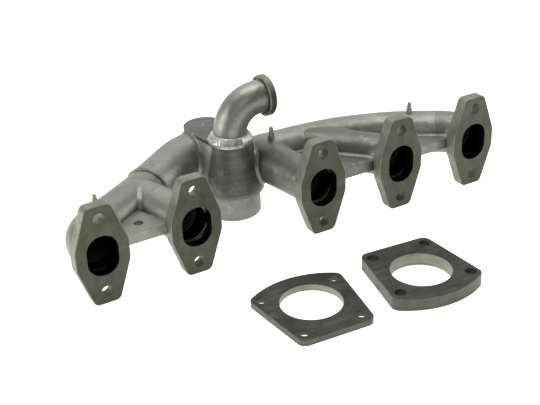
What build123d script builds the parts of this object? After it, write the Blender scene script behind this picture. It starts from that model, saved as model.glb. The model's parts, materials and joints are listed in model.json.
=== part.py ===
from build123d import *
import math
import os

# Welded steel exhaust manifold for an in-line five-cylinder engine, with two loose outlet plates.
# Frame: origin at the centre of the outlet stub's lower mouth, on the surface the part stands on.
# +X runs along the row from port 1 to port 5, the port faces look along -Y, +Z is up.

# Port row
cylinder_pitch = 88.0
centre_gap = 131.0
port_1_x = -171.0
port_2_x = port_1_x + cylinder_pitch
port_3_x = port_2_x + centre_gap
port_4_x = port_3_x + cylinder_pitch
port_5_x = port_4_x + cylinder_pitch
port_xs = [port_1_x, port_2_x, port_3_x, port_4_x, port_5_x]
face_y = -88.0
axis_z = 46.5

# Port flanges
flange_thickness = 11.0
flange_back_y = face_y + flange_thickness
flange_height = 2 * axis_z
flange_width = 49.0
flange_side = 18.0
flange_end = 23.0
flange_side_round = 16.0
flange_end_round = 6.0
flange_edge_break = 0.6
stud_hole_radius = 5.3
stud_spacing = 69.5
port_width = 28.4
port_height = 37.4

# Tubes
log_radius = 21.2
log_bore = 18.2
runner_radius = 20.0
runner_bore = 17.0
inlet_radius = 22.5
inlet_bore = 19.0

# Collector box: a cone at the front and an upright round wall at the back
collector_base_z = 25.2
collector_top_z = 76.0
collector_plate = 3.0
collector_wall = 3.0
front_base_radius = 30.5
front_top_radius = 20.0
rear_radius = 20.5
rear_centre = (-6.0, 42.0)

# Outlet stub
stub_radius = 26.3
stub_bore = 23.3
stub_bead = 2.2

# Gas take-off elbow with its ring flange
elbow_radius = 16.0
elbow_bore = 13.4
elbow_bend = 30.0
elbow_height = 111.0
elbow_reach = 35.0
ring_radius = 20.0
ring_thickness = 7.0
ring_groove_radius = 17.8
ring_groove_depth = 2.2
collar_radius = 21.6
collar_height = 7.0

# Web plates between the runners
web_thickness = 10.0
web_front_y = flange_back_y + 1.0
web_hole = (-126.0, -61.0)
web_hole_radius = 4.25

# Pins that carry the heat shield
pin_base_radius = 4.3
pin_tip_radius = 1.7
pin_root_z = 62.0
pin_top_z = 78.5

# Fillet welds behind the port flanges
port_bead = 3.2

# Loose outlet plates
plate_wide_corner = (44.4, 34.6)
plate_narrow_corner = (34.2, -40.4)
plate_crown = 49.4
plate_corner_round = 7.5
plate_edge_break = 0.5
plate_wide_hole = (35.0, 29.7)
plate_narrow_hole = (26.7, -29.7)
plate_hole_radius = 5.2
plate_bore_radius = 26.9
plate_bore_offset = 6.5
thin_plate_thickness = 6.0
thick_plate_thickness = 12.0
thin_plate_place = (-31.9, -196.6, -3.4)
thick_plate_place = (69.9, -200.9, 175.0)


def ahead(point, heading, distance):
    """The point so far along a heading, in degrees from +Y towards +X."""
    angle = math.radians(heading)
    return (point[0] + distance * math.sin(angle), point[1] + distance * math.cos(angle))


# Centre lines, at axis_z unless a point says otherwise: corner points, bend radius, outer radius, bore
left_heading = 57.5
left_corner = (port_1_x, -52.0)
left_joint = ahead(left_corner, left_heading, 18.0)
left_end = ahead(left_corner, left_heading, 103.0)
right_heading = -53.0
right_corner = (port_5_x, -59.0)
right_joint = ahead(right_corner, right_heading, 20.0)
runner_4_corner = (port_4_x, -62.0)
inlet_line = [(-88.0, 1.0, axis_z), (-33.0, 37.0, 51.0), (-10.0, 37.0, 52.0)]
runs = {
    "runner_1": ([(port_1_x, face_y), left_corner, left_joint], [22.0], log_radius, log_bore),
    "left_log": ([left_joint, left_end], [], log_radius, log_bore),
    "left_inlet": (inlet_line, [60.0], inlet_radius, inlet_bore),
    "runner_2": ([(port_2_x, face_y), (-102.5, -7.0)], [], runner_radius, runner_bore),
    "runner_3": ([(port_3_x, face_y), (32.0, 3.0)], [], runner_radius, runner_bore),
    "runner_4": ([(port_4_x, face_y), runner_4_corner, (80.0, 0.0)], [42.0], runner_radius, runner_bore),
    "runner_5": ([(port_5_x, face_y), right_corner, right_joint], [28.0], log_radius, log_bore),
    "right_log": ([right_joint, (147.8, -1.6), (10.0, 5.6)], [240.0], log_radius, log_bore),
}


def centre_line(points, radii):
    """A run of straight lines joined by tangent bends; a point with no height is at axis_z."""
    corners = [(*point, axis_z)[:3] for point in points]
    with BuildLine(mode=Mode.PRIVATE) as line:
        if radii:
            FilletPolyline(*corners, radius=radii[0])
        else:
            Polyline(*corners)
    return line.wire()


def rod(points, radii, radius, hollow=0.0):
    """A round bar along a centre line, solid or bored, cut off level with the back of the port flanges."""
    path = centre_line(points, radii)
    with BuildPart(mode=Mode.PRIVATE) as bar:
        with BuildSketch(Plane(origin=path @ 0, z_dir=path % 0)):
            Circle(radius)
            if hollow:
                Circle(hollow, mode=Mode.SUBTRACT)
        sweep(path=path, transition=Transition.ROUND)
        if points[0][1] == face_y:
            split(bisect_by=Plane.XZ.offset(-flange_back_y), keep=Keep.BOTTOM)
    return bar.part


outer = {name: rod(points, radii, radius) for name, (points, radii, radius, _) in runs.items()}
bores = {name: rod(points, radii, bore) for name, (points, radii, _, bore) in runs.items()}


def collector_body(low, high, inset):
    """The collector's outline at two heights, joined by a loft and moved in by the inset."""
    rise = collector_top_z - collector_base_z
    with BuildPart(mode=Mode.PRIVATE) as body:
        for height in (low, high):
            share = (height - collector_base_z) / rise
            front = front_base_radius + share * (front_top_radius - front_base_radius) - inset
            with BuildSketch(Plane.XY.offset(height)):
                with BuildLine():
                    CenterArc((0, 0), front, 0, 360)
                    CenterArc(rear_centre, rear_radius - inset, 0, 360)
                make_hull()
        loft(ruled=True)
    return body.part


floor_top_z = collector_base_z + collector_plate
lid_base_z = collector_top_z - collector_plate
collector_outer = collector_body(collector_base_z, collector_top_z, 0)
collector_cavity = collector_body(floor_top_z, lid_base_z, collector_wall)


def finish(piece, name):
    """Label one finished piece and write it out."""
    piece.label = name
    export_step(piece, "parts/" + name + ".step")
    print(name, len(piece.solids()), round(piece.volume))


def subtract_all(tools):
    """Take a list of solids away from the part being built."""
    for tool in tools:
        add(tool, mode=Mode.SUBTRACT)


os.makedirs("parts", exist_ok=True)

# Port flanges: a long hexagon with rounded corners, a port opening and two stud holes
port_plane = Plane(origin=(0, face_y, axis_z), x_dir=(1, 0, 0), z_dir=(0, -1, 0))
for number, x in enumerate(port_xs, 1):
    with BuildPart() as port_flange:
        with BuildSketch(port_plane):
            with BuildLine():
                Polyline(
                    (x - flange_width / 2, -flange_side / 2),
                    (x - flange_end / 2, -flange_height / 2),
                    (x + flange_end / 2, -flange_height / 2),
                    (x + flange_width / 2, -flange_side / 2),
                    (x + flange_width / 2, flange_side / 2),
                    (x + flange_end / 2, flange_height / 2),
                    (x - flange_end / 2, flange_height / 2),
                    (x - flange_width / 2, flange_side / 2),
                    close=True,
                )
            make_face()
            fillet(vertices().sort_by(lambda v: abs(v.Y))[-4:], radius=flange_end_round)
            fillet(vertices().sort_by(lambda v: abs(v.Y))[0:4], radius=flange_side_round)
        extrude(amount=-flange_thickness)
        chamfer(edges().group_by(Axis.Y)[0], length=flange_edge_break)
        with BuildSketch(port_plane):
            with Locations((x, 0)):
                RectangleRounded(port_width, port_height, port_width / 2 - 0.5)
            with Locations((x, stud_spacing / 2), (x, -stud_spacing / 2)):
                Circle(stud_hole_radius)
        extrude(amount=-flange_thickness, mode=Mode.SUBTRACT)
    finish(port_flange.part, f"port_flange_{number}")

# Tubes: each is cut to the outside of what it is welded onto, and opened where other tubes enter it
trimmed_by = {
    "runner_1": [],
    "left_log": [outer["left_inlet"]],
    "left_inlet": [collector_outer],
    "runner_2": [outer["left_log"], outer["left_inlet"]],
    "runner_3": [outer["right_log"], collector_outer],
    "runner_4": [outer["right_log"]],
    "runner_5": [],
    "right_log": [collector_outer],
}
opened_by = {
    "left_log": [bores["runner_2"]],
    "left_inlet": [bores["left_log"]],
    "right_log": [bores["runner_3"], bores["runner_4"]],
}
for name, (points, radii, radius, bore) in runs.items():
    with BuildPart() as tube:
        add(rod(points, radii, radius, bore))
        subtract_all(trimmed_by[name] + opened_by.get(name, []))
    finish(tube.part, name)

# Collector: shell, floor round the stub's mouth, and lid round the elbow's mouth
with BuildPart(mode=Mode.PRIVATE) as stub_mouth:
    with BuildSketch():
        Circle(stub_bore)
    extrude(amount=floor_top_z + 1)
with BuildPart(mode=Mode.PRIVATE) as elbow_mouth:
    with BuildSketch(Plane.XY.offset(lid_base_z - 1)):
        Circle(elbow_bore)
    extrude(amount=collector_plate + 2)

with BuildPart() as collector_floor:
    add(collector_outer)
    split(bisect_by=Plane.XY.offset(floor_top_z), keep=Keep.BOTTOM)
    subtract_all([stub_mouth.part])
finish(collector_floor.part, "collector_floor")

with BuildPart() as collector_lid:
    add(collector_outer)
    split(bisect_by=Plane.XY.offset(lid_base_z), keep=Keep.TOP)
    subtract_all([elbow_mouth.part])
finish(collector_lid.part, "collector_lid")

with BuildPart() as collector_shell:
    add(collector_outer)
    split(bisect_by=Plane.XY.offset(floor_top_z), keep=Keep.TOP)
    split(bisect_by=Plane.XY.offset(lid_base_z), keep=Keep.BOTTOM)
    subtract_all([collector_cavity, bores["left_inlet"], bores["right_log"], bores["runner_3"]])
finish(collector_shell.part, "collector_shell")

# Outlet stub and the bead that joins it to the collector floor
with BuildPart() as outlet_stub:
    with BuildSketch():
        Circle(stub_radius)
        Circle(stub_bore, mode=Mode.SUBTRACT)
    extrude(amount=collector_base_z)
    outer_rim = edges().group_by(Axis.Z)[0].sort_by(SortBy.LENGTH)[-1]
    chamfer(outer_rim, length=1.2)
finish(outlet_stub.part, "outlet_stub")

with BuildPart() as outlet_weld:
    with BuildSketch(Plane.XZ):
        with BuildLine():
            Polyline(
                (stub_radius, collector_base_z),
                (stub_radius, collector_base_z - stub_bead),
                (stub_radius + stub_bead, collector_base_z),
                close=True,
            )
        make_face()
    revolve(axis=Axis.Z)
finish(outlet_weld.part, "outlet_weld")

# Gas take-off elbow: up from the lid, round a quarter bend, out towards +X
with BuildLine(mode=Mode.PRIVATE) as elbow_line:
    FilletPolyline(
        (0, 0, collector_top_z),
        (0, 0, elbow_height),
        (elbow_reach, 0, elbow_height),
        radius=elbow_bend,
    )
with BuildPart(mode=Mode.PRIVATE) as elbow_bar:
    with BuildSketch(Plane.XY.offset(collector_top_z)):
        Circle(elbow_radius)
    sweep(path=elbow_line.line)
with BuildPart() as egr_elbow:
    with BuildSketch(Plane.XY.offset(collector_top_z)):
        Circle(elbow_radius)
        Circle(elbow_bore, mode=Mode.SUBTRACT)
    sweep(path=elbow_line.line)
finish(egr_elbow.part, "egr_elbow")

ring_plane = Plane(origin=(elbow_reach, 0, elbow_height), x_dir=(0, 1, 0), z_dir=(1, 0, 0))
with BuildPart() as egr_ring_flange:
    with BuildSketch(ring_plane):
        Circle(ring_radius)
        Circle(elbow_bore, mode=Mode.SUBTRACT)
    extrude(amount=ring_thickness)
    chamfer(edges().filter_by(GeomType.CIRCLE).sort_by(SortBy.LENGTH)[-2:], length=0.8)
    with BuildSketch(ring_plane):
        Circle(ring_groove_radius)
        Circle(elbow_radius, mode=Mode.SUBTRACT)
    extrude(amount=ring_groove_depth, mode=Mode.SUBTRACT)
finish(egr_ring_flange.part, "egr_ring_flange")

# Welded shoulder round the elbow's foot, lapping over the lid's front edge
with BuildPart() as egr_collar:
    with BuildSketch(Plane.XZ):
        with BuildLine():
            Polyline(
                (0, lid_base_z),
                (collar_radius - 0.8, lid_base_z),
                (collar_radius, lid_base_z + 2),
                (collar_radius - 0.3, lid_base_z + 5),
                (elbow_radius + 2.2, collector_top_z + collar_height - 1),
                (elbow_radius + 0.6, collector_top_z + collar_height),
                (0, collector_top_z + collar_height),
                close=True,
            )
        make_face()
    revolve(axis=Axis.Z)
    subtract_all([collector_outer, elbow_bar.part])
finish(egr_collar.part, "egr_collar")

# Web plates: each fills the V between two tubes, level with the port row
left_web = [(port_1_x + 4, web_front_y), (port_2_x - 6, web_front_y), (-100.0, -12.0), (-158.0, -43.0)]
middle_web = [
    (port_3_x - 4, web_front_y),
    (port_4_x - 6, web_front_y),
    (port_4_x - 2, -62.0),
    (112.0, -34.0),
    (86.0, -3.0),
    (36.0, 0.0),
]
right_web = [
    (port_4_x + 4, web_front_y),
    (port_5_x - 4, web_front_y),
    (port_5_x - 4, -60.0),
    (206.0, -46.0),
    (178.0, -28.0),
    (150.0, -13.0),
    (105.0, -2.0),
    (112.0, -36.0),
    (port_4_x + 1, -60.0),
]
web_corners = {"web_plate_1_2": left_web, "web_plate_3_4": middle_web, "web_plate_4_5": right_web}
webs = []
for name, corners in web_corners.items():
    with BuildPart() as web:
        with BuildSketch(Plane.XY.offset(axis_z - web_thickness / 2)):
            with BuildLine():
                Polyline(*corners, close=True)
            make_face()
            if name == "web_plate_1_2":
                with Locations(web_hole):
                    Circle(web_hole_radius, mode=Mode.SUBTRACT)
        extrude(amount=web_thickness)
        subtract_all(list(outer.values()))
    webs.append(web.part)
    finish(web.part, name)

# Pointed pins on top of the tubes
pin_places = [(-154.8, -37.5), (43.3, -3.0), (187.1, -31.6)]
for number, (x, y) in enumerate(pin_places, 1):
    with BuildPart() as pin:
        with Locations((x, y, pin_root_z)):
            Cone(
                pin_base_radius,
                pin_tip_radius,
                pin_top_z - pin_root_z,
                align=(Align.CENTER, Align.CENTER, Align.MIN),
            )
        fillet(edges().group_by(Axis.Z)[-1], radius=pin_tip_radius * 0.9)
        subtract_all(list(outer.values()))
    finish(pin.part, f"shield_pin_{number}")

# Fillet welds round each tube behind its flange
tubes_at_ports = ["runner_1", "runner_2", "runner_3", "runner_4", "runner_5"]
for number, (x, name) in enumerate(zip(port_xs, tubes_at_ports), 1):
    tube_radius = runs[name][2]
    back_plane = Plane(origin=(x, flange_back_y, axis_z), x_dir=(1, 0, 0), z_dir=(0, 1, 0))
    with BuildPart() as port_weld:
        with BuildSketch(back_plane):
            Circle(tube_radius + port_bead)
        extrude(amount=port_bead, taper=45)
        subtract_all([outer[name]] + webs)
    finish(port_weld.part, f"port_weld_{number}")


def both_sides(point):
    """The point and its mirror image in the plate's middle line."""
    return [point, (-point[0], point[1])]


def outlet_plate(place, thickness, name):
    """A loose four-hole plate: a trapezium with one bowed side, lying flat."""
    x, y, turn = place
    wide_right, wide_left = both_sides(plate_wide_corner)
    narrow_right, narrow_left = both_sides(plate_narrow_corner)
    underside = Plane(origin=(x, y, 0), x_dir=Vector(1, 0, 0).rotate(Axis.Z, turn))
    with BuildPart() as plate:
        with BuildSketch(underside):
            with BuildLine():
                ThreePointArc(wide_left, (0, plate_crown), wide_right)
                Polyline(wide_right, narrow_right, narrow_left, wide_left)
            make_face()
            fillet(vertices(), radius=plate_corner_round)
        extrude(amount=thickness)
        chamfer(faces().group_by(Axis.Z)[-1].edges(), length=plate_edge_break)
        with BuildSketch(underside):
            with Locations((0, plate_bore_offset)):
                Circle(plate_bore_radius)
            with Locations(both_sides(plate_wide_hole) + both_sides(plate_narrow_hole)):
                Circle(plate_hole_radius)
        extrude(amount=thickness, mode=Mode.SUBTRACT)
    finish(plate.part, name)


outlet_plate(thin_plate_place, thin_plate_thickness, "thin_outlet_plate")
outlet_plate(thick_plate_place, thick_plate_thickness, "thick_outlet_plate")
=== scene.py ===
import json
import math

import bmesh
import bpy
from mathutils import Matrix, Vector, noise
from mathutils.bvhtree import BVHTree


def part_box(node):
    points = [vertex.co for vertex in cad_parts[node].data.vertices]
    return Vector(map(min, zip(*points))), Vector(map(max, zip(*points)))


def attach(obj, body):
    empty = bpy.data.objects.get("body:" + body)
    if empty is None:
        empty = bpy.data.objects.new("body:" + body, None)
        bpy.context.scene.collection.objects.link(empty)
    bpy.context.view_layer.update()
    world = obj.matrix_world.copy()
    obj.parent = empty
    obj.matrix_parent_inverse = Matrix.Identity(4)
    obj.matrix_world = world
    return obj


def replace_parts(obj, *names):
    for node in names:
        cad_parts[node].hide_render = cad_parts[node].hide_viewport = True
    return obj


# Welded exhaust manifold with two loose outlet plates. Everything is in metres, in the frame's own axes:
# +X along the port row, the port faces look along -Y, +Z is up.

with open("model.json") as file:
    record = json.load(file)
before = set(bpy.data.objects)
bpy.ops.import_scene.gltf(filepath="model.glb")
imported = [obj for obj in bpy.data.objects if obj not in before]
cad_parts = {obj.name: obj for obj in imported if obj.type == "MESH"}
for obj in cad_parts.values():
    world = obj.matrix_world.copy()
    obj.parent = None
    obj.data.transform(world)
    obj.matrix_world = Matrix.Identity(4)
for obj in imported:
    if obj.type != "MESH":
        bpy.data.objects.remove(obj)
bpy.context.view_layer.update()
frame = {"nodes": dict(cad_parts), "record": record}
scene = bpy.context.scene
nodes = frame["nodes"]

MM = 0.001
PORTS = range(1, 6)


# ---------------------------------------------------------------- camera, floor and light

CAMERA_PLACE = (-0.4405, -0.8493, 0.5102)
CAMERA_AZIMUTH = -29.52
CAMERA_ELEVATION = 27.83
CAMERA_ROLL = -2.35
CAMERA_LENS = 73.65
BACKDROP_SIDE = (0.35, 0.75, 0.55)


def add_camera():
    """The camera's turn about the vertical, then its tilt down, then a small roll."""
    data = bpy.data.cameras.new("camera")
    data.lens = CAMERA_LENS
    data.sensor_width = 36.0
    data.clip_start = 0.01
    camera = bpy.data.objects.new("camera", data)
    scene.collection.objects.link(camera)
    turn = Matrix.Rotation(math.radians(CAMERA_AZIMUTH), 4, "Z")
    tilt = Matrix.Rotation(math.radians(90.0 - CAMERA_ELEVATION), 4, "X")
    roll = Matrix.Rotation(math.radians(CAMERA_ROLL), 4, "Z")
    camera.matrix_world = Matrix.Translation(CAMERA_PLACE) @ turn @ tilt @ roll
    scene.camera = camera


def add_softbox(name, place, target, size, power):
    """A rectangular lamp at place that faces target."""
    data = bpy.data.lights.new(name, "AREA")
    data.shape = "RECTANGLE"
    data.size, data.size_y = size
    data.energy = power
    lamp = bpy.data.objects.new(name, data)
    scene.collection.objects.link(lamp)
    lamp.location = place
    lamp.rotation_euler = (Vector(target) - Vector(place)).to_track_quat("-Z", "Y").to_euler()


def add_world():
    """A studio: a bright backdrop behind the part, a softer ceiling, and a dark room round the camera."""
    world = bpy.data.worlds.new("studio")
    scene.world = world
    world.use_nodes = True
    tree = world.node_tree
    coords = tree.nodes.new("ShaderNodeTexCoord")
    towards = tree.nodes.new("ShaderNodeVectorMath")
    towards.operation = "DOT_PRODUCT"
    towards.inputs[1].default_value = Vector(BACKDROP_SIDE).normalized()
    ramp = tree.nodes.new("ShaderNodeValToRGB")
    stops = [(0.0, 0.10), (0.35, 0.24), (0.7, 0.75), (1.0, 1.3)]
    while len(ramp.color_ramp.elements) < len(stops):
        ramp.color_ramp.elements.new(0.5)
    for element, (position, grey) in zip(ramp.color_ramp.elements, stops):
        element.position = position
        element.color = (grey, grey, grey, 1)
    tree.links.new(coords.outputs["Generated"], towards.inputs[0])
    tree.links.new(towards.outputs["Value"], ramp.inputs["Fac"])
    tree.links.new(ramp.outputs["Color"], tree.nodes["Background"].inputs["Color"])


def add_floor():
    """A wide white table, softly self-lit so that it stays pale under the part."""
    size = 6.0
    mesh = bpy.data.meshes.new("floor")
    corners = [(-size, -size, 0), (size, -size, 0), (size, size, 0), (-size, size, 0)]
    mesh.from_pydata(corners, [], [(0, 1, 2, 3)])
    floor = bpy.data.objects.new("floor", mesh)
    scene.collection.objects.link(floor)
    material = bpy.data.materials.new("floor_white")
    material.use_nodes = True
    shader = material.node_tree.nodes["Principled BSDF"]
    shader.inputs["Base Color"].default_value = (0.9, 0.9, 0.9, 1)
    shader.inputs["Roughness"].default_value = 0.7
    shader.inputs["Emission Color"].default_value = (1, 1, 1, 1)
    shader.inputs["Emission Strength"].default_value = 1.0
    mesh.materials.append(material)
    floor.location.z = -0.2 * MM


add_camera()
add_world()
add_floor()
add_softbox("top", (0.15, 0.25, 1.7), (0.03, -0.02, 0.0), (1.2, 0.9), 12)
add_softbox("front", (-0.5, -1.5, 1.5), (0.02, 0.0, 0.03), (0.6, 0.4), 3)
add_softbox("left", (-1.5, 0.25, 0.5), (-0.1, 0.0, 0.05), (0.5, 0.8), 11)
add_softbox("right", (1.4, -0.35, 0.6), (0.1, 0.0, 0.05), (0.5, 0.6), 6)
scene.view_settings.view_transform = "Standard"


# ---------------------------------------------------------------- materials

# the near-black colour painted inside the port bores, and how deep behind the flanges it reaches: painted
# shade of the deep bores, standing also for soot
BORE_SHADE_AND_SOOT = (0.002, 0.002, 0.002)
# near black painted shade for closed-in hollows and creases
HOLLOW_SHADE = (0.004, 0.004, 0.004)
TUBE_REACH = 19.5 * MM
BORE_SHADE_DEPTH = 14 * MM
PORT_REACH = 19.6 * MM
BORE_REACH = 28.5 * MM
flange_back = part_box("port_flange_1")[1].y


class Shade:
    """A Principled material and short ways to wire procedural nodes into it."""

    def __init__(self, name):
        self.material = bpy.data.materials.new(name)
        self.material.use_nodes = True
        self.tree = self.material.node_tree
        self.shader = self.tree.nodes["Principled BSDF"]
        self.place = self.tree.nodes.new("ShaderNodeTexCoord").outputs["Object"]

    def link(self, source, target):
        self.tree.links.new(source, target)

    def constant(self, socket, value):
        self.shader.inputs[socket].default_value = value

    def noise(self, scale, detail=4.0, rough=0.55, stretch=None, warp=0.0):
        """Fractal noise, optionally stretched along axes; scale is in features per metre."""
        node = self.tree.nodes.new("ShaderNodeTexNoise")
        node.inputs["Scale"].default_value = scale
        node.inputs["Detail"].default_value = detail
        node.inputs["Roughness"].default_value = rough
        node.inputs["Distortion"].default_value = warp
        source = self.place
        if stretch:
            mapping = self.tree.nodes.new("ShaderNodeMapping")
            mapping.inputs["Scale"].default_value = stretch
            self.link(source, mapping.inputs["Vector"])
            source = mapping.outputs["Vector"]
        self.link(source, node.inputs["Vector"])
        return node.outputs["Fac"]

    def ramp(self, source, stops):
        """Map a 0-1 value through (position, grey or colour) stops."""
        node = self.tree.nodes.new("ShaderNodeValToRGB")
        ramp = node.color_ramp
        while len(ramp.elements) < len(stops):
            ramp.elements.new(0.5)
        for element, (position, value) in zip(ramp.elements, stops):
            element.position = position
            element.color = (*value, 1) if isinstance(value, tuple) else (value, value, value, 1)
        self.link(source, node.inputs["Fac"])
        return node.outputs["Color"]

    def mix(self, share, low, high):
        """Mix two colours, each a socket or a tuple, by a share that is a socket or a number."""
        node = self.tree.nodes.new("ShaderNodeMix")
        node.data_type = "RGBA"
        for socket, value in ((node.inputs[0], share), (node.inputs[6], low), (node.inputs[7], high)):
            if isinstance(value, bpy.types.NodeSocket):
                self.link(value, socket)
            elif isinstance(value, tuple):
                socket.default_value = (*value, 1)
            else:
                socket.default_value = value
        return node.outputs[2]

    def math(self, operation, first, second=0.0):
        node = self.tree.nodes.new("ShaderNodeMath")
        node.operation = operation
        for socket, value in zip(node.inputs, (first, second)):
            if isinstance(value, bpy.types.NodeSocket):
                self.link(value, socket)
            else:
                socket.default_value = value
        return node.outputs[0]

    def facing(self, axis, start=0.75, end=0.95):
        """How far the surface faces one way along an axis given as (index, sign): 0 to 1."""
        geometry = self.tree.nodes.new("ShaderNodeNewGeometry")
        split = self.tree.nodes.new("ShaderNodeSeparateXYZ")
        self.link(geometry.outputs["True Normal"], split.inputs[0])
        along = self.math("MULTIPLY", split.outputs[axis[0]], axis[1])
        return self.ramp(along, [(start, 0.0), (end, 1.0)])

    def shade_hollows(self, colour, reach):
        """Paint shade into closed-in places, found by ambient occlusion: the depths of bores and holes and
        the creases between parts go near black. This is painted shade, which inside the bores stands also
        for soot.
        """
        closed = self.tree.nodes.new("ShaderNodeAmbientOcclusion")
        closed.samples = 6
        closed.inputs["Distance"].default_value = reach
        return self.mix(self.ramp(closed.outputs["AO"], [(0.02, 0.0), (0.14, 1.0)]), HOLLOW_SHADE, colour)

    def inside(self, centre, radius, across):
        """1 on a bore's own wall: within a radius of a line through centre, and facing that line.
        across is (1, 1, 1) with the line's own axis at 0."""
        offset = self.tree.nodes.new("ShaderNodeVectorMath")
        offset.operation = "SUBTRACT"
        offset.inputs[1].default_value = centre
        self.link(self.place, offset.inputs[0])
        flat = self.tree.nodes.new("ShaderNodeVectorMath")
        flat.operation = "MULTIPLY"
        flat.inputs[1].default_value = across
        self.link(offset.outputs[0], flat.inputs[0])
        length = self.tree.nodes.new("ShaderNodeVectorMath")
        length.operation = "LENGTH"
        self.link(flat.outputs[0], length.inputs[0])
        near = self.math("LESS_THAN", length.outputs["Value"], radius)
        geometry = self.tree.nodes.new("ShaderNodeNewGeometry")
        outward = self.tree.nodes.new("ShaderNodeVectorMath")
        outward.operation = "DOT_PRODUCT"
        self.link(flat.outputs[0], outward.inputs[0])
        self.link(geometry.outputs["True Normal"], outward.inputs[1])
        return self.math("MULTIPLY", near, self.math("LESS_THAN", outward.outputs["Value"], 0.0))

    def before(self, axis, limit, soft):
        """1 where the position along X, Y or Z (0, 1, 2) is below a limit, 0 beyond, over a soft step."""
        split = self.tree.nodes.new("ShaderNodeSeparateXYZ")
        self.link(self.place, split.inputs[0])
        step = self.math("DIVIDE", self.math("SUBTRACT", limit + soft / 2, split.outputs[axis]), soft)
        return self.ramp(step, [(0.0, 0.0), (1.0, 1.0)])

    def port_mask(self, port, radius, back):
        """1 inside a port's bore, in front of a depth; 0 elsewhere."""
        return self.math("MULTIPLY", self.inside(port, radius, (1, 0, 1)), self.before(1, back, 0.2 * MM))

    def bumps(self, layers, edge_round=0.0):
        """Stack height layers, each (socket, distance in metres), over softly rounded edges."""
        normal = None
        if edge_round:
            bevel = self.tree.nodes.new("ShaderNodeBevel")
            bevel.samples = 4
            bevel.inputs["Radius"].default_value = edge_round
            normal = bevel.outputs["Normal"]
        for height, distance in layers:
            bump = self.tree.nodes.new("ShaderNodeBump")
            bump.inputs["Distance"].default_value = distance
            self.link(height, bump.inputs["Height"])
            if normal:
                self.link(normal, bump.inputs["Normal"])
            normal = bump.outputs["Normal"]
        self.link(normal, self.shader.inputs["Normal"])


def toned(stops, tone):
    """Ramp stops with every colour made lighter or darker by one factor."""
    return [(position, tuple(min(1.0, part * tone) for part in colour)) for position, colour in stops]


# colour stops of each finish and of the painted light and shade, dark to light
TUBE_CLOUDS = [(0.30, (0.165, 0.167, 0.138)), (0.52, (0.205, 0.207, 0.180)), (0.72, (0.250, 0.252, 0.225))]
# darker bands painted on the collector's front: painted shade where it faces away from the light
SHADED_FRONT_BANDS = [(0.35, (0.110, 0.112, 0.092)), (0.65, (0.150, 0.152, 0.129))]
# port flange front and sides: ground face and cut edge, with the front painted darker as painted shade and
# the sides painted lighter as painted light
SHADED_GROUND_FACE = [(0.30, (0.046, 0.048, 0.030)), (0.50, (0.066, 0.068, 0.044)), (0.70, (0.088, 0.090, 0.062))]
LIT_CUT_SIDE = [(0.3, (0.15, 0.154, 0.118)), (0.7, (0.26, 0.265, 0.220))]
MILL_SCALE = [(0.32, (0.022, 0.023, 0.015)), (0.52, (0.040, 0.041, 0.029)), (0.70, (0.068, 0.069, 0.055))]
SAWN_EDGE = [(0.3, (0.066, 0.069, 0.048)), (0.7, (0.108, 0.112, 0.080))]
BORED_WALL = [(0.3, (0.18, 0.184, 0.145)), (0.7, (0.28, 0.285, 0.23))]
WELD_SHINE = [(0.30, (0.22, 0.223, 0.195)), (0.50, (0.45, 0.453, 0.42)), (0.70, (0.72, 0.72, 0.68))]
# light scuffs, which also stand as painted highlights on the coating
SCUFF_AND_HIGHLIGHT = (0.42, 0.42, 0.39)
STAIN = (0.085, 0.085, 0.07)
BRUSH_MARK = (0.17, 0.17, 0.15)
CONE_BACK = -1 * MM


def coated_tube(port=None, tone=1.0, shaded_front=False):
    """Grey satin heat coating over drawn tube: cloudy colour, fine grain, a few light scuffs that are partly
    painted highlights, and painted shade in closed-in hollows. A port's tube is painted near black inside,
    painted shade that stands also for soot; the collector's front, when asked for, gets darker bands of
    painted shade."""
    m = Shade("coated_tube")
    clouds = m.noise(22, 5, 0.6, warp=0.4)
    base = m.ramp(clouds, toned(TUBE_CLOUDS, tone))
    # painted shade: the collector's front, ahead of the cone's back, takes a darker banded colour
    if shaded_front:
        banded = m.ramp(m.noise(260, 4, 0.7, stretch=(0.06, 0.06, 1.0)), SHADED_FRONT_BANDS)
        base = m.mix(m.before(1, CONE_BACK, 3 * MM), base, banded)
    # light blotches: scuffs that are partly painted highlights
    blotch = m.ramp(m.noise(75, 4, 0.7), [(0.58, 0.0), (0.70, 1.0)])
    base = m.mix(m.math("MULTIPLY", blotch, 0.35), base, SCUFF_AND_HIGHLIGHT)
    stain = m.ramp(m.noise(48, 3, 0.6, warp=1.0), [(0.60, 0.0), (0.74, 1.0)])
    base = m.mix(m.math("MULTIPLY", stain, 0.45), base, STAIN)
    # painted shade: closed-in hollows and creases darkened by ambient occlusion
    base = m.shade_hollows(base, 25 * MM)
    # painted shade: the runner's bore behind its port painted near black, standing also for soot
    if port:
        base = m.mix(m.port_mask(port, TUBE_REACH, flange_back + BORE_SHADE_DEPTH), base, BORE_SHADE_AND_SOOT)
    m.link(base, m.shader.inputs["Base Color"])
    m.constant("Metallic", 0.8)
    grain = m.noise(1500, 3, 0.6)
    rough = m.ramp(m.noise(60, 5, 0.7), [(0.3, 0.36), (0.7, 0.50)])
    m.link(rough, m.shader.inputs["Roughness"])
    dents = m.noise(26, 3, 0.5)
    ripples = m.noise(180, 4, 0.65)
    m.bumps([(dents, 2.2 * MM), (ripples, 0.22 * MM), (grain, 0.08 * MM)], 0.9 * MM)
    return m.material


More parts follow.
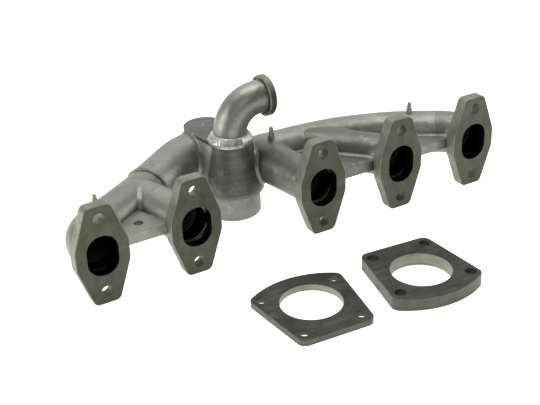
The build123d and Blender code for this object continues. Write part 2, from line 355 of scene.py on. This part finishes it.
def port_steel(port=None):
    """Plasma-cut plate: a dark ground face and paler cut sides, chosen by which way each surface faces; the
    dark front and pale sides are partly the finish and partly painted shade and painted light.
    """
    m = Shade("port_steel")
    mottled = m.noise(48, 6, 0.65, warp=0.6)
    face = m.ramp(mottled, SHADED_GROUND_FACE)
    side = m.ramp(m.noise(70, 4, 0.6), LIT_CUT_SIDE)
    # painted shade and light: faces looking along -Y take the dark colour, all other faces the pale one
    base = m.mix(m.facing((1, -1)), side, face)
    if port:
        # painted shade: the port's bore walls painted near black, standing also for soot
        walls = m.math("SUBTRACT", 1.0, m.facing((1, -1), 0.5, 0.8))
        inside = m.port_mask(port, PORT_REACH, flange_back + 1 * MM)
        base = m.mix(m.math("MULTIPLY", inside, walls), base, BORE_SHADE_AND_SOOT)
    m.link(base, m.shader.inputs["Base Color"])
    m.constant("Metallic", 0.6)
    m.link(m.ramp(m.noise(90, 5, 0.7), [(0.3, 0.42), (0.7, 0.62)]), m.shader.inputs["Roughness"])
    cut_lines = m.noise(900, 2, 0.5, stretch=(1.0, 0.06, 1.0))
    grinding = m.noise(700, 3, 0.6, stretch=(0.12, 1.0, 1.0))
    m.bumps([(m.noise(35, 3, 0.5), 0.8 * MM), (cut_lines, 0.06 * MM), (grinding, 0.08 * MM)], 0.8 * MM)
    return m.material


def plate_steel(bore=None):
    """Dark mill-scaled plate with faint grinding marks, paler sawn edges and a bright bored hole."""
    m = Shade("plate_steel")
    scale = m.noise(38, 6, 0.62, warp=0.5)
    face = m.ramp(scale, MILL_SCALE)
    brushed = m.noise(260, 4, 0.7, stretch=(0.10, 1.0, 1.0))
    marks = m.ramp(brushed, [(0.52, 0.0), (0.75, 1.0)])
    face = m.mix(m.math("MULTIPLY", marks, 0.35), face, BRUSH_MARK)
    side = m.ramp(m.noise(120, 5, 0.65), SAWN_EDGE)
    if bore:
        banded = m.ramp(m.noise(420, 3, 0.6, stretch=(0.1, 0.1, 1.0)), BORED_WALL)
        side = m.mix(m.inside(bore, BORE_REACH, (1, 1, 0)), side, banded)
    m.link(m.mix(m.facing((2, 1)), side, face), m.shader.inputs["Base Color"])
    m.constant("Metallic", 0.55)
    m.link(m.ramp(m.noise(110, 5, 0.7), [(0.3, 0.40), (0.7, 0.60)]), m.shader.inputs["Roughness"])
    sawn = m.noise(1400, 2, 0.5, stretch=(1.0, 1.0, 0.08))
    m.bumps([(m.noise(30, 2, 0.5), 0.6 * MM), (brushed, 0.05 * MM), (sawn, 0.06 * MM)], 0.6 * MM)
    return m.material


def weld_metal():
    """Bright coated weld beads with small craters and darker heat stain."""
    m = Shade("weld_metal")
    m.link(m.ramp(m.noise(110, 5, 0.65), WELD_SHINE), m.shader.inputs["Base Color"])
    m.constant("Metallic", 0.8)
    m.link(m.ramp(m.noise(160, 4, 0.7), [(0.3, 0.28), (0.7, 0.46)]), m.shader.inputs["Roughness"])
    m.bumps([(m.noise(260, 4, 0.7), 0.45 * MM), (m.noise(1100, 3, 0.6), 0.08 * MM)])
    return m.material


materials = {
    "coated_tube": coated_tube(),
    "port_steel": port_steel(),
    "plate_steel": plate_steel(),
    "weld_metal": weld_metal(),
}
for subpart in frame["record"]["subparts"]:
    node = nodes[subpart["node"]]
    if not node.data.materials:
        node.data.materials.append(None)
    for slot in node.material_slots:
        slot.material = materials[subpart["material_slot"]]

# how much lighter or darker the coating is painted on each welded piece: painted light and painted shade for
# how the lamps fall on it
RUNNER_LIGHT_AND_SHADE = {1: 1.0, 2: 1.15, 3: 0.80, 4: 0.68, 5: 0.85}
PIECE_LIGHT_AND_SHADE = {
    "left_inlet": 1.15,
    "right_log": 1.25,
    "collector_lid": 0.5,
    "web_plate_1_2": 1.3,
    "web_plate_3_4": 0.7,
    "egr_elbow": 1.3,
}
PIN_PAINTED_LIGHT = 2.2
SHELL_PAINTED_LIGHT = 2.0
PINS = ["shield_pin_1", "shield_pin_2", "shield_pin_3"]
PLATES = ["thin_outlet_plate", "thick_outlet_plate"]
PLATE_INNER = 33.5 * MM


def refinish(name, material):
    """Give a CAD node its own version of its slot's finish."""
    nodes[name].material_slots[0].material = material


def bore_centre(name):
    """The middle of a plate's large hole: the mean of its rim, the only points near the plate's middle."""
    low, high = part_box(name)
    middle = (low + high) / 2
    rim = [v.co for v in nodes[name].data.vertices if (v.co - middle).xy.length < PLATE_INNER]
    return sum(rim, Vector()) / len(rim)


for number in PORTS:
    low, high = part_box(f"port_flange_{number}")
    axis = (low + high) / 2
    refinish(f"port_flange_{number}", port_steel(axis))
    refinish(f"runner_{number}", coated_tube(axis, RUNNER_LIGHT_AND_SHADE[number]))
for name, tone in PIECE_LIGHT_AND_SHADE.items():
    refinish(name, coated_tube(tone=tone))
pin_finish = coated_tube(tone=PIN_PAINTED_LIGHT)
for name in PINS:
    refinish(name, pin_finish)
# the collector shell: painted light overall, with bands of painted shade on its front
refinish("collector_shell", coated_tube(tone=SHELL_PAINTED_LIGHT, shaded_front=True))
for name in PLATES:
    refinish(name, plate_steel(bore_centre(name)))


# ---------------------------------------------------------------- weld beads


def as_piece(name, mesh, slot):
    """Finish a new mesh piece: link it, shade it smooth, give it its finish and its body."""
    mesh.materials.append(materials[slot])
    mesh.shade_smooth()
    piece = bpy.data.objects.new(name, mesh)
    scene.collection.objects.link(piece)
    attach(piece, "manifold")
    return piece


def fill_grid(mesh_name, rings):
    """A closed mesh from rings of points, whose last ring meets the first."""
    bm = bmesh.new()
    rows = [[bm.verts.new(point) for point in ring] for ring in rings]
    for row, following in zip(rows, rows[1:] + rows[:1]):
        for i in range(len(row)):
            j = (i + 1) % len(row)
            bm.faces.new((row[i], row[j], following[j], following[i]))
    bmesh.ops.recalc_face_normals(bm, faces=bm.faces)
    mesh = bpy.data.meshes.new(mesh_name)
    bm.to_mesh(mesh)
    bm.free()
    return mesh


BEAD_SIDES = 10
BEAD_RIPPLE = 2.2 * MM


def bead_rings(path, radius, seed):
    """Rings of points round a closed path of evenly spaced points, swelling with each weld ripple."""
    rings = []
    travelled = 0.0
    for i, point in enumerate(path):
        before = path[i - 1]
        after = path[(i + 1) % len(path)]
        along = (after - before).normalized()
        travelled += (point - before).length if i else 0.0
        swell = 1.0 + 0.10 * math.sin(2 * math.pi * travelled / BEAD_RIPPLE)
        lump = noise.noise(point * 140 + Vector((seed, 0, 0)))
        size = radius * swell * (1.0 + 0.35 * lump)
        across = along.orthogonal().normalized()
        upright = along.cross(across)
        ring = []
        for k in range(BEAD_SIDES):
            angle = 2 * math.pi * k / BEAD_SIDES
            spoke = across * math.cos(angle) + upright * math.sin(angle)
            rough = 1.0 + 0.12 * noise.noise((point + spoke * size) * 420)
            ring.append(point + spoke * size * rough)
        rings.append(ring)
    return rings


def untwist(rings):
    """Turn each ring's start to follow the ring before it."""
    for previous, ring in zip(rings, rings[1:]):

        def twist(start):
            return sum((ring[(start + k) % len(ring)] - point).length for k, point in enumerate(previous))

        best = min(range(len(ring)), key=twist)
        ring[:] = ring[best:] + ring[:best]
    return rings


MEETS_WITHIN = 0.3 * MM
SAME_POINT = 0.02 * MM


def search_tree(name):
    """A nearest-point search over a node's mesh."""
    data = nodes[name].data
    faces = [list(polygon.vertices) for polygon in data.polygons]
    return BVHTree.FromPolygons([v.co for v in data.vertices], faces)


def seam(piece, neighbours):
    """Where a welded piece stands on its neighbours: the outer edge of its contact faces, as one
    closed line of (point, the piece's normal, the neighbours' normal)."""
    bm = bmesh.new()
    bm.from_mesh(nodes[piece].data)
    bmesh.ops.remove_doubles(bm, verts=bm.verts, dist=SAME_POINT)
    trees = [search_tree(name) for name in neighbours]

    def touches(co):
        return any(tree.find_nearest(co, MEETS_WITHIN)[0] is not None for tree in trees)

    def surface(co):
        hits = [tree.find_nearest(co) for tree in trees]
        return min(hits, key=lambda hit: hit[3])[1]

    meeting = {v for v in bm.verts if touches(v.co)}
    contact = {f for f in bm.faces if all(v in meeting for v in f.verts) and touches(f.calc_center_median())}
    onward, own = {}, {}
    for edge in bm.edges:
        inner = [f for f in edge.link_faces if f in contact]
        outer = [f for f in edge.link_faces if f not in contact]
        if len(inner) != 1 or len(outer) != 1:
            continue
        for vert, opposite in (edge.verts, reversed(edge.verts)):
            onward.setdefault(vert, []).append(opposite)
            own[vert] = own.get(vert, Vector()) + outer[0].normal
    loops = []
    unseen = set(onward)
    while unseen:
        loop = [max(unseen, key=lambda v: tuple(v.co))]
        unseen.discard(loop[0])
        while True:
            following = [v for v in onward[loop[-1]] if v in unseen]
            if not following:
                break
            loop.append(following[0])
            unseen.discard(following[0])
        line = []
        for vert in loop:
            normal = own[vert].normalized()
            line.append((vert.co.copy(), normal, surface(vert.co + normal * MM)))
        loops.append(line)
    bm.free()
    loops.sort(key=lambda loop: sum((b[0] - a[0]).length for a, b in zip(loop, loop[1:])), reverse=True)
    return loops[0]


def eased(line, rounds):
    """A closed line of vector tuples with every vector averaged with its neighbours' a few times."""
    for _ in range(rounds):
        count = len(line)
        line = [
            tuple((a + b * 2 + c) / 4 for a, b, c in zip(line[i - 1], line[i], line[(i + 1) % count]))
            for i in range(count)
        ]
    return line


def resampled(line, step):
    """A closed line of vector tuples with its points a near-constant step apart."""
    line = line + line[:1]
    marks = [0.0]
    for a, b in zip(line, line[1:]):
        marks.append(marks[-1] + (b[0] - a[0]).length)
    count = round(marks[-1] / step)
    result = []
    index = 0
    for k in range(count):
        target = marks[-1] * k / count
        while marks[index + 1] < target:
            index += 1
        share = (target - marks[index]) / max(marks[index + 1] - marks[index], 1e-9)
        result.append(tuple(a.lerp(b, share) for a, b in zip(line[index], line[index + 1])))
    return result


FILLET_STEPS = 6
SINK = 0.5 * MM
ROOT_DEPTH = 2.2 * MM
HOLLOW = 0.20
SEAM_STEP = 1.0 * MM
SEAM_ROUNDS = 5


def fillet_rings(line, own_leg, other_leg, seed):
    """Sections of a hand-laid fillet weld along a seam: hollow-faced, its toes sunk into both surfaces."""
    rings = []
    count = len(line)
    onward = [(line[(i + 1) % count][0] - line[i - 1][0]).normalized() for i in range(count)]
    turn = sum(along.cross(own).dot(other) for along, (_, own, other) in zip(onward, line))
    side = math.copysign(1.0, turn)
    for along, (point, own, other) in zip(onward, line):
        up_own = along.cross(own).normalized() * side
        up_other = along.cross(other).normalized() * -side
        corner = min(1.0, 1.0 - own.dot(other))
        size = 0.45 + 0.55 * corner
        size *= 1.0 + 0.28 * noise.noise(point * 90 + Vector((seed, 0, 0)))
        size += 0.10 * noise.noise(point * 420)
        toe_own = point + up_own * own_leg * size - own * SINK
        toe_other = point + up_other * other_leg * size - other * SINK
        belly = point + up_own * own_leg * HOLLOW + up_other * other_leg * HOLLOW
        root = point - (own + other).normalized() * ROOT_DEPTH
        ring = [root]
        for k in range(FILLET_STEPS + 1):
            t = k / FILLET_STEPS
            ring.append(toe_own * (1 - t) ** 2 + belly * 2 * t * (1 - t) + toe_other * t * t)
        rings.append(ring)
    return rings


# piece, what it stands on, the weld's leg along the piece, and its leg along what it stands on
SHELL = ["collector_shell", "collector_lid", "collector_floor"]
FILLETS = [
    ("runner_2", ["left_log", "left_inlet"], 4.5, 4.5),
    ("left_inlet", SHELL, 4.5, 4.0),
    ("right_log", SHELL, 4.5, 4.0),
    ("runner_3", ["right_log"] + SHELL, 4.5, 4.5),
    ("runner_4", ["right_log"], 4.5, 4.5),
    ("web_plate_1_2", ["runner_1", "left_log", "runner_2"], 3.2, 3.2),
    ("web_plate_3_4", ["runner_3", "runner_4", "right_log"], 3.2, 3.2),
    ("web_plate_4_5", ["runner_4", "runner_5", "right_log"], 3.2, 3.2),
]
for seed, (piece, neighbours, own_leg, other_leg) in enumerate(FILLETS):
    line = eased(resampled(seam(piece, neighbours), SEAM_STEP), SEAM_ROUNDS)
    rings = fillet_rings(line, own_leg * MM, other_leg * MM, seed)
    as_piece(f"weld_{piece}", fill_grid(f"weld_{piece}", rings), "coated_tube")


BEAD_STEP = 0.6 * MM
BEAD_LIFT = 0.2 * MM


def bead(name, path, radius, seed):
    """A lumpy round bead along a closed path."""
    rings = untwist(bead_rings(path, radius, seed))
    return as_piece(name, fill_grid(name, rings), "coated_tube")


def ring_path(centre, radius, first, second):
    """Points round a circle that lies in the plane of two axes."""
    count = round(2 * math.pi * radius / BEAD_STEP)
    angles = [2 * math.pi * k / count for k in range(count)]
    return [centre + (first * math.cos(a) + second * math.sin(a)) * radius for a in angles]


AXIS_X, AXIS_Y, AXIS_Z = Vector((1, 0, 0)), Vector((0, 1, 0)), Vector((0, 0, 1))
PORT_BEAD = 2.5 * MM
for number in PORTS:
    low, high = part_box(f"port_weld_{number}")
    flange_low, flange_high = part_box(f"port_flange_{number}")
    middle = (flange_low + flange_high) / 2
    tube_radius = (high.z - low.z) / 2 - (high.y - low.y)
    centre = Vector((middle.x, flange_back + 0.4 * MM, middle.z))
    path = ring_path(centre, tube_radius + BEAD_LIFT, AXIS_X, AXIS_Z)
    piece = bead(f"bead_port_{number}", path, PORT_BEAD, 20 + number)
    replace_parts(piece, f"port_weld_{number}")

BUTTS_WITHIN = 0.2 * MM


def butt_ring(piece, neighbour):
    """Points round the outer edge of a tube's square end, where it butts against the next tube."""
    tree = search_tree(neighbour)
    rim = [v.co for v in nodes[piece].data.vertices if tree.find_nearest(v.co, BUTTS_WITHIN)[0] is not None]
    centre = sum(rim, Vector()) / len(rim)
    first = (rim[0] - centre).normalized()
    axis = max((first.cross(point - centre) for point in rim), key=lambda normal: normal.length).normalized()
    radius = max((point - centre).length for point in rim)
    return ring_path(centre, radius + BEAD_LIFT, first, axis.cross(first))


bead("weld_left_log", butt_ring("left_log", "left_inlet"), 1.8 * MM, 40)

low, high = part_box("outlet_weld")
stub_radius = (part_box("outlet_stub")[1].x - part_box("outlet_stub")[0].x) / 2
path = ring_path(Vector((0, 0, high.z - 0.3 * MM)), stub_radius + BEAD_LIFT, AXIS_X, AXIS_Y)
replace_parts(bead("bead_outlet", path, 1.9 * MM, 31), "outlet_weld")


# ---------------------------------------------------------------- welded shoulder at the elbow's foot


COLLAR_TURNS = 168
COLLAR_RIPPLES = 46


def shoulder():
    """The rough built-up collar: a lumpy ring of weld metal that laps over the lid's front edge."""
    low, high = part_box("egr_collar")
    outer = (high.x - low.x) / 2
    inner = (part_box("egr_elbow")[1].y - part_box("egr_elbow")[0].y) / 2 - 1.0 * MM
    base, crown = low.z, high.z
    rise = crown - base
    profile = [
        (inner, base + 0.05 * rise),
        (outer - 1.6 * MM, base),
        (outer - 0.4 * MM, base + 0.08 * rise),
        (outer, base + 0.24 * rise),
        (outer - 0.1 * MM, base + 0.40 * rise),
        (outer - 0.7 * MM, base + 0.54 * rise),
        (outer - 1.6 * MM, base + 0.66 * rise),
        (outer - 2.5 * MM, base + 0.78 * rise),
        (outer - 3.4 * MM, base + 0.90 * rise),
        (outer - 4.4 * MM, base + 0.98 * rise),
        (inner, crown),
    ]
    rings = []
    for k in range(COLLAR_TURNS):
        angle = 2 * math.pi * k / COLLAR_TURNS
        spoke = Vector((math.cos(angle), math.sin(angle), 0))
        ring = []
        for index, (radius, height) in enumerate(profile):
            point = spoke * radius + AXIS_Z * height
            if 0 < index < len(profile) - 1:
                lumps = noise.fractal(point * 130, 0.9, 2.1, 4)
                ripple = math.sin(angle * COLLAR_RIPPLES + 3 * noise.noise(point * 60))
                point = point + (spoke + AXIS_Z * 0.4) * (0.55 * MM * lumps + 0.16 * MM * ripple)
            ring.append(point)
        rings.append(ring)
    return fill_grid("collar_weld", rings)


collar = as_piece("collar_weld", shoulder(), "weld_metal")
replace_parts(collar, "egr_collar")


# ---------------------------------------------------------------- scene update

bpy.context.view_layer.update()
